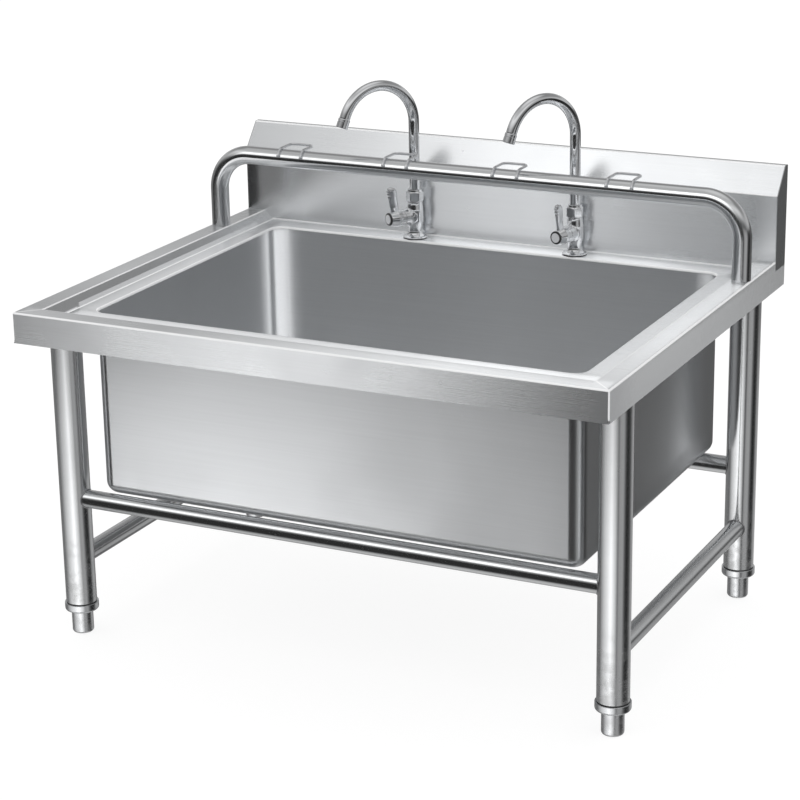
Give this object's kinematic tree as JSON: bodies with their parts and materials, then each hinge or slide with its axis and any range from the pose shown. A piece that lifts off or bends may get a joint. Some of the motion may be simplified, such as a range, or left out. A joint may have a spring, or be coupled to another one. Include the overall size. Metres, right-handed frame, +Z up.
{
  "type": "mop sink",
  "caption": "Free-standing stainless steel mop sink with a deep bowl, backsplash, arched mop bar with wire clips, pillar taps with swan-neck spouts, and tube legs on screw feet.",
  "frame": {"origin": "on the floor under the middle of the top", "axes": "+X along the length to the right, +Y to the backsplash, +Z up"},
  "size_m": [1, 0.8, 0.8452],
  "materials": {
    "top_steel": "brushed stainless sheet, grain along the length",
    "bowl_steel": "satin stainless, pressed and brushed",
    "frame_steel": "mill-finish stainless",
    "tube_steel": "fine polished stainless tube",
    "bar_steel": "polished stainless tube",
    "foot_steel": "turned stainless",
    "wire_steel": "bright wire",
    "tap_chrome": "polished chrome plate",
    "brass": "plain brass",
    "rubber": "black",
    "black_plastic": "black moulded",
    "button_plastic": "black, bare",
    "disc_plastic": "pale grey, bare",
    "pipe_plastic": "white waste fitting",
    "waste_steel": "bright stainless"
  },
  "bodies": {
    "frame": {"worktop": "top_steel", "backsplash": "top_steel", "backsplash_end_left": "top_steel", "backsplash_end_right": "top_steel", "bowl": "bowl_steel", "side_shelf_left": "frame_steel", "side_shelf_right": "frame_steel", "front_stiffener": "frame_steel", "back_stiffener": "frame_steel", "leg_front_left": "tube_steel", "leg_front_right": "tube_steel", "leg_back_left": "tube_steel", "leg_back_right": "tube_steel", "leg_sockets": "frame_steel", "leg_plugs": "black_plastic", "rail_front": "tube_steel", "rail_back": "tube_steel", "rail_left": "tube_steel", "rail_right": "tube_steel", "mop_bar": "bar_steel", "bar_plugs": "frame_steel", "bar_nuts": "frame_steel", "clip_1": "wire_steel", "clip_2": "wire_steel", "clip_3": "wire_steel", "clip_4": "wire_steel", "tap_left_body": "tap_chrome", "tap_left_cartridge": "tap_chrome", "tap_left_spout_nut": "tap_chrome", "tap_right_body": "tap_chrome", "tap_right_cartridge": "tap_chrome", "tap_right_spout_nut": "tap_chrome", "tap_gaskets": "rubber", "tap_lock_nuts": "brass", "waste_body": "waste_steel", "waste_gasket": "rubber", "waste_ring_nut": "pipe_plastic", "waste_tailpiece": "pipe_plastic", "waste_tail_nut": "pipe_plastic"},
    "lever_left": {"tap_left_spindle": "brass", "tap_left_lever": "tap_chrome", "tap_left_screw": "tap_chrome", "tap_left_button": "button_plastic", "tap_left_index_disc": "disc_plastic"},
    "spout_left": {"tap_left_spout": "tap_chrome", "tap_left_aerator": "tap_chrome"},
    "lever_right": {"tap_right_spindle": "brass", "tap_right_lever": "tap_chrome", "tap_right_screw": "tap_chrome", "tap_right_button": "button_plastic", "tap_right_index_disc": "disc_plastic"},
    "spout_right": {"tap_right_spout": "tap_chrome", "tap_right_aerator": "tap_chrome"},
    "screw_foot_front_left": {"foot_front_left": "foot_steel"},
    "screw_foot_front_right": {"foot_front_right": "foot_steel"},
    "screw_foot_back_left": {"foot_back_left": "foot_steel"},
    "screw_foot_back_right": {"foot_back_right": "foot_steel"},
    "waste_basket": {"basket": "waste_steel", "basket_knob": "waste_steel"}
  },
  "joints": [
    {"name": "lever_left_turn", "type": "hinge", "parent": "frame", "child": "lever_left", "pos_m": [-0.16826, 0.30334, 0.598], "axis": [-0.5736, -0.8192, 0], "range_deg": [0, 90]},
    {"name": "spout_left_swivel", "type": "hinge", "parent": "frame", "child": "spout_left", "pos_m": [-0.151, 0.328, 0.6255], "axis": [0, 0, 1], "continuous": true},
    {"name": "lever_right_turn", "type": "hinge", "parent": "frame", "child": "lever_right", "pos_m": [0.14321, 0.29893, 0.598], "axis": [0.2588, 0.9659, 0], "range_deg": [0, 90]},
    {"name": "spout_right_swivel", "type": "hinge", "parent": "frame", "child": "spout_right", "pos_m": [0.151, 0.328, 0.6255], "axis": [0, 0, 1], "continuous": true},
    {"name": "foot_front_left_screw", "type": "slide", "parent": "frame", "child": "screw_foot_front_left", "axis": [0, 0, -1], "range_m": [0, 0.025]},
    {"name": "foot_front_right_screw", "type": "slide", "parent": "frame", "child": "screw_foot_front_right", "axis": [0, 0, -1], "range_m": [0, 0.025]},
    {"name": "foot_back_left_screw", "type": "slide", "parent": "frame", "child": "screw_foot_back_left", "axis": [0, 0, -1], "range_m": [0, 0.025]},
    {"name": "foot_back_right_screw", "type": "slide", "parent": "frame", "child": "screw_foot_back_right", "axis": [0, 0, -1], "range_m": [0, 0.025]},
    {"name": "basket_lift", "type": "slide", "parent": "frame", "child": "waste_basket", "axis": [0, 0, 1], "range_m": [0, 0.08]}
  ]
}
